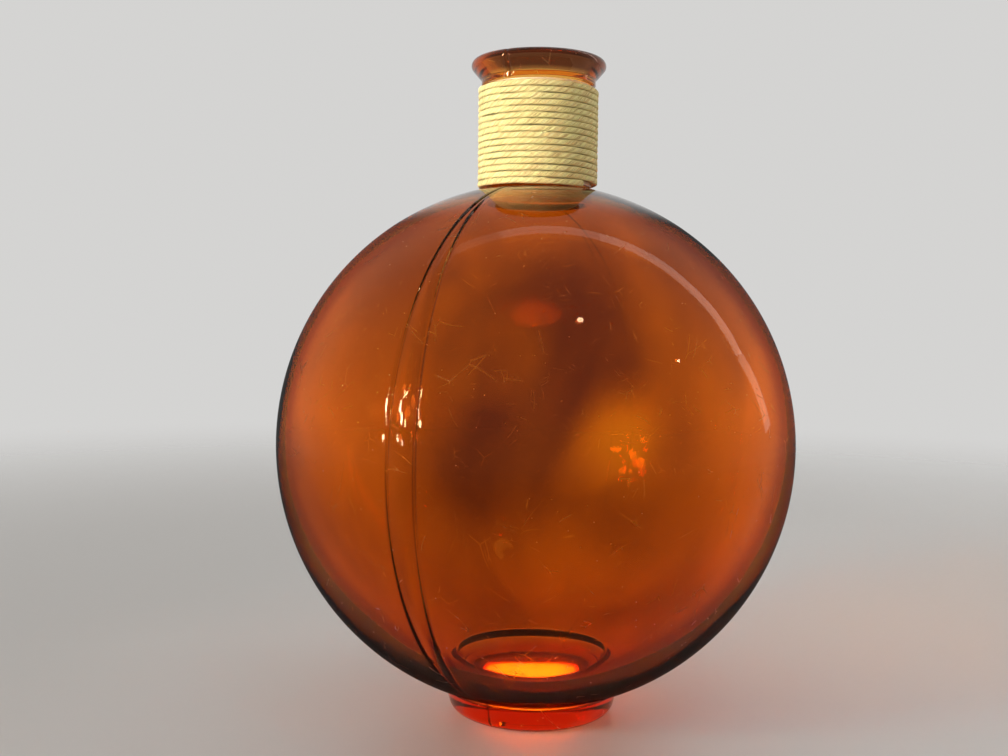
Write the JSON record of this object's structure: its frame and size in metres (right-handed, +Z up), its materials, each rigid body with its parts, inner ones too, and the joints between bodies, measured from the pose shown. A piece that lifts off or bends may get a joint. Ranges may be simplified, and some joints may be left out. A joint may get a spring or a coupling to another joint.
{
  "type": "rope-wrapped glass bottle",
  "caption": "Round amber glass bottle on a low ring foot, with raised mould seams, a flared lip and a short neck wound with twisted twine.",
  "frame": {"origin": "middle of the ring foot, on the surface that the bottle stands on", "axes": "+Z up the bottle's axis, from the foot to the mouth; the side with the front mould seam faces -Y"},
  "size_m": [0.2394, 0.2394, 0.3047],
  "materials": {
    "amber_glass": "clear burnt-orange glass, fire-polished, with fine raised mould seams",
    "straw_twine": "matt twisted straw-coloured twine",
    "clear_glue": "thin dried glue film"
  },
  "bodies": {
    "root": {"glass_bottle": "amber_glass", "neck_rope": "straw_twine", "rope_adhesive": "clear_glue"}
  },
  "joints": []
}
